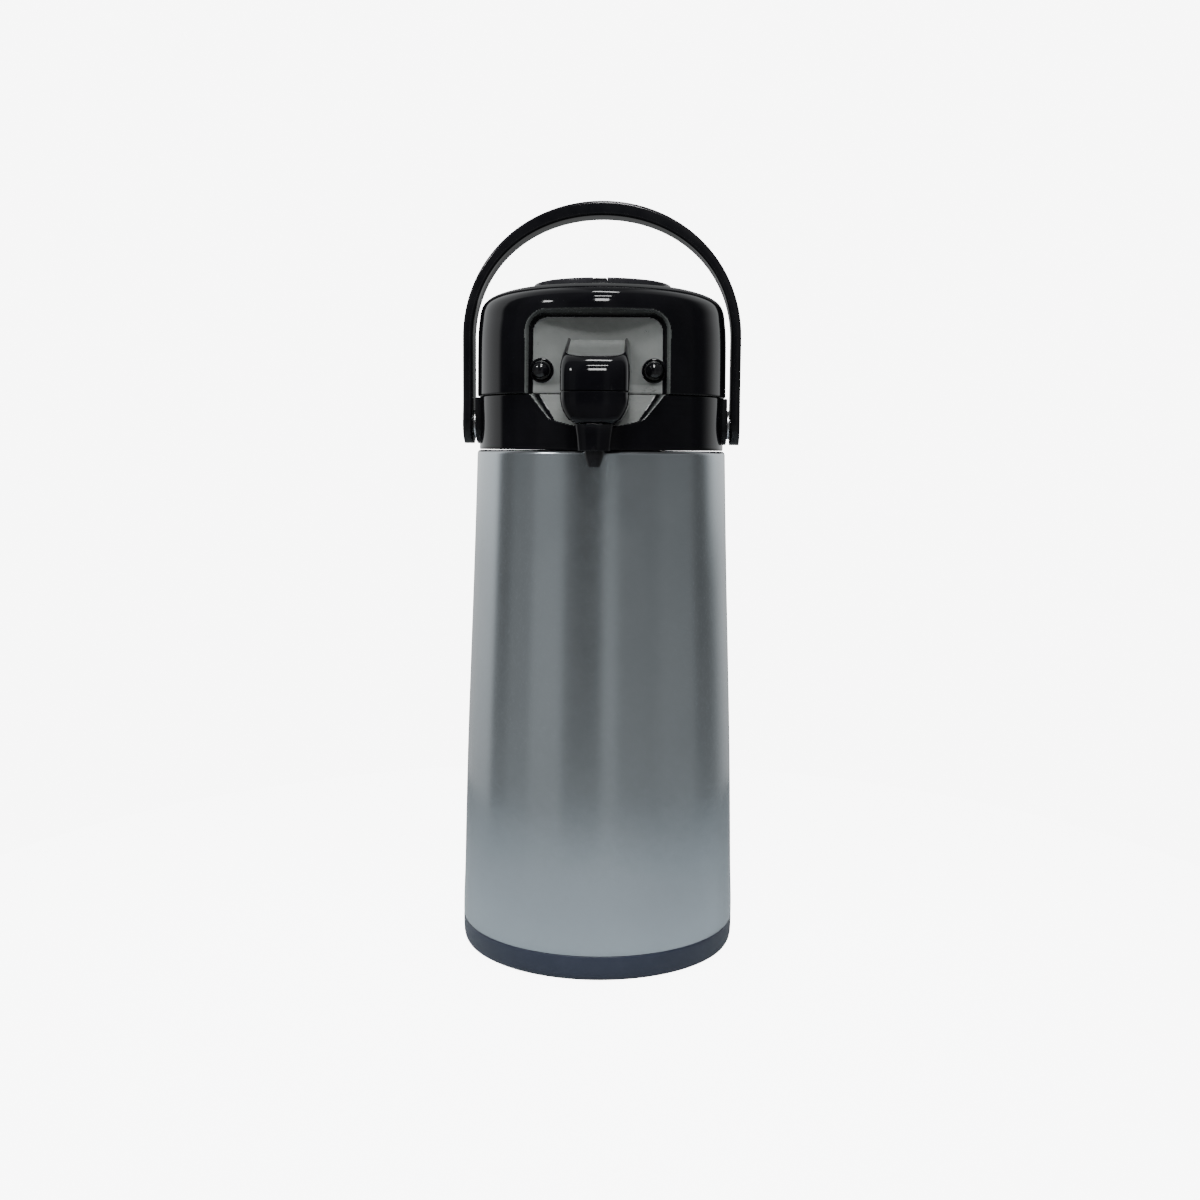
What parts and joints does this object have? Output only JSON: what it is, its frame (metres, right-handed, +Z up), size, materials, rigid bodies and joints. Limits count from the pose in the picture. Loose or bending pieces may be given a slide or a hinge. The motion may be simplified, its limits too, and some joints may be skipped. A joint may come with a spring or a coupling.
{
  "type": "coffee airpot",
  "caption": "Push-button vacuum coffee airpot: tapered metallic grey body, glossy black head with front spout, domed pump button and upright bail handle.",
  "frame": {"origin": "on the body's axis at the underside of the base, where it stands", "axes": "+Z up along the body's axis, -Y towards the spout, +X to the right when the spout faces the viewer"},
  "size_m": [0.1532, 0.175, 0.4112],
  "materials": {
    "base_rubber": "matt moulded rubber",
    "base_dark": "dark navy-grey moulded plastic, light satin",
    "shell_metal": "satin metallic grey lacquer on steel",
    "silvered_glass": "silvered vacuum glass",
    "seal_silicone": "translucent white silicone",
    "cushion_rubber": "matt black rubber",
    "head_gloss": "high-gloss black plastic",
    "inner_plastic": "satin black plastic",
    "tube_plastic": "natural polypropylene",
    "steel": "bright stainless steel",
    "button_black": "satin black plastic",
    "handle_black": "semi-gloss black plastic"
  },
  "bodies": {
    "pot": {"foot_ring": "base_rubber", "base_cap": "base_dark", "base_plug": "base_dark", "body_shell": "shell_metal", "liner_cushion": "cushion_rubber", "liner_outer": "silvered_glass", "liner_inner": "silvered_glass", "liner_gasket": "seal_silicone", "collar": "head_gloss", "neck_ring": "inner_plastic", "tube_holder": "inner_plastic", "dip_tube": "tube_plastic", "delivery_pipe": "tube_plastic", "nozzle_guard": "head_gloss", "spout_tip": "inner_plastic", "handle_pin_left": "steel", "handle_pin_right": "steel", "lid_hinge_pin": "steel", "catch_plate_left": "steel", "catch_plate_right": "steel"},
    "handle_bushes": {"pivot_bush_left": "steel", "pivot_bush_right": "steel"},
    "handle": {"handle": "handle_black"},
    "lid": {"lid_cover": "head_gloss", "lid_base": "inner_plastic", "lid_seal": "seal_silicone", "exhaust_valve": "seal_silicone", "bellows": "seal_silicone", "return_spring": "steel", "lid_screw_1": "steel", "lid_screw_2": "steel", "lid_screw_3": "steel", "lid_screw_4": "steel"},
    "button": {"press_button": "button_black", "plunger": "inner_plastic", "intake_valve": "seal_silicone"},
    "lock": {"lock_slider": "button_black"},
    "release_left": {"release_button_left": "head_gloss"},
    "release_right": {"release_button_right": "head_gloss"}
  },
  "joints": [
    {"name": "lid_hinge", "type": "hinge", "parent": "pot", "child": "lid", "pos_m": [0, 0.0726, 0.308], "axis": [-1, 0, 0], "range_deg": [0, 52]},
    {"name": "handle_carry", "type": "hinge", "parent": "pot", "child": "handle_bushes", "pos_m": [0, 0, 0.2915], "axis": [-1, 0, 0], "range_deg": [0, 133]},
    {"name": "handle_swing", "type": "hinge", "parent": "handle_bushes", "child": "handle", "pos_m": [0, 0, 0.2915], "axis": [1, 0, 0], "range_deg": [-130, 0]},
    {"name": "button_press", "type": "slide", "parent": "lid", "child": "button", "axis": [0, 0, 1], "range_m": [-0.02, 0], "stiffness_N_per_m": 400, "springref_m": 0.008, "deforming": ["bellows", "return_spring"]},
    {"name": "lock_slide", "type": "slide", "parent": "button", "child": "lock", "axis": [0, -1, 0], "range_m": [0, 0.006]},
    {"name": "release_left_press", "type": "slide", "parent": "lid", "child": "release_left", "axis": [0, 1, 0], "range_m": [0, 0.003], "stiffness_N_per_m": 600, "springref_m": -0.002},
    {"name": "release_right_press", "type": "slide", "parent": "lid", "child": "release_right", "axis": [0, 1, 0], "range_m": [0, 0.003], "stiffness_N_per_m": 600, "springref_m": -0.002}
  ],
  "couplings": [
    {"joint": "handle_carry", "follows": "lid_hinge", "ratio": 2.55}
  ]
}
